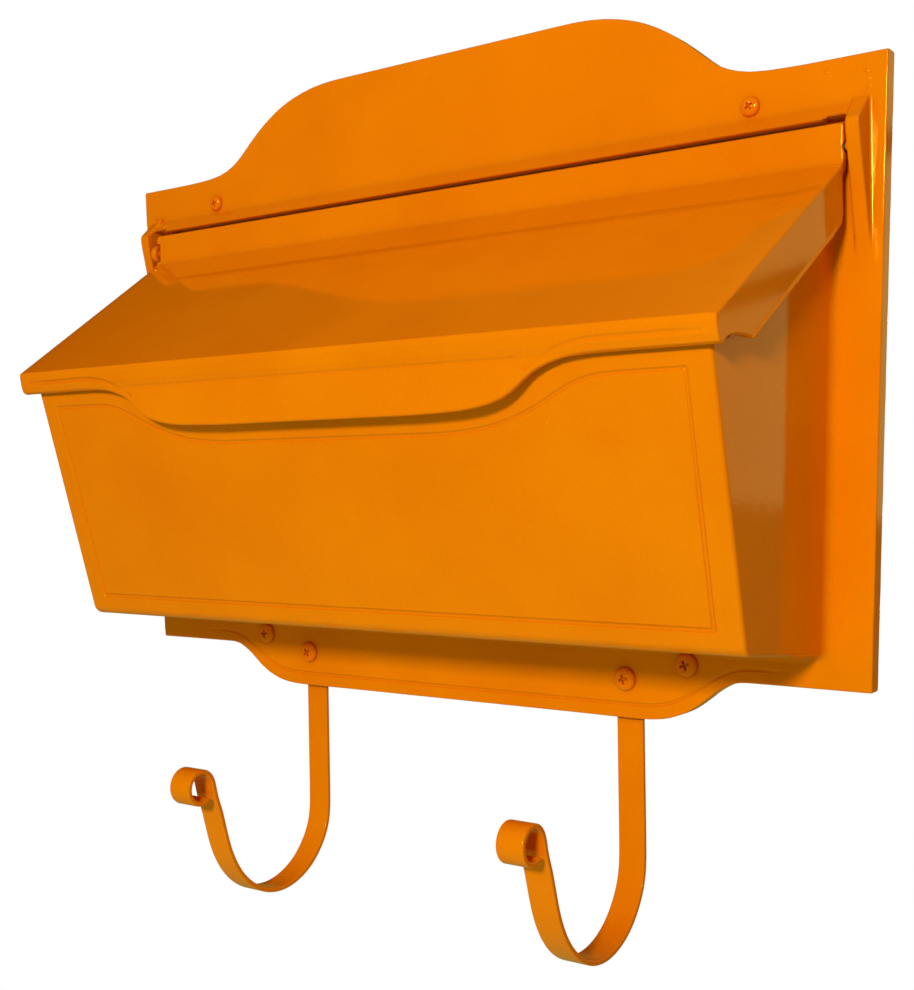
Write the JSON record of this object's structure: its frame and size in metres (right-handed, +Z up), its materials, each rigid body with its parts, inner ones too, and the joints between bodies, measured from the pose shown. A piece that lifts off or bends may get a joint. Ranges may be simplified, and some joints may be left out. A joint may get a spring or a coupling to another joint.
{
  "type": "wall mailbox",
  "caption": "Horizontal wall-mounted mailbox in orange-coated cast metal, with a shaped face plate, a sloping hinged lid with a pull lip, and curled newspaper hooks below.",
  "frame": {"origin": "centre of the back panel's rear face, on the wall plane", "axes": "+Z up, +Y into the wall, +X to the right of somebody facing the box"},
  "size_m": [0.4, 0.1052, 0.382],
  "materials": {
    "orange_coat": "gloss",
    "orange_coat_lid": "gloss",
    "orange_coat_panel": "satin",
    "orange_coat_hooks": "gloss",
    "orange_coat_screws": "gloss",
    "bare_pin": "satin"
  },
  "bodies": {
    "body": {"body_casting": "orange_coat", "back_panel": "orange_coat_panel", "hinge_pin_left": "orange_coat_lid", "hinge_pin_right": "bare_pin", "hook_left": "orange_coat_hooks", "hook_right": "orange_coat_hooks", "panel_screw_top_left": "orange_coat_screws", "panel_screw_top_right": "orange_coat_screws", "panel_screw_bottom_left": "orange_coat_screws", "panel_screw_bottom_right": "orange_coat_screws", "hook_screw_left": "orange_coat_screws", "hook_screw_right": "orange_coat_screws"},
    "lid": {"lid": "orange_coat_lid"}
  },
  "joints": [
    {"name": "lid_hinge", "type": "hinge", "parent": "body", "child": "lid", "pos_m": [0, -0.0112, 0.0835], "axis": [-1, 0, 0], "range_deg": [0, 88]}
  ]
}
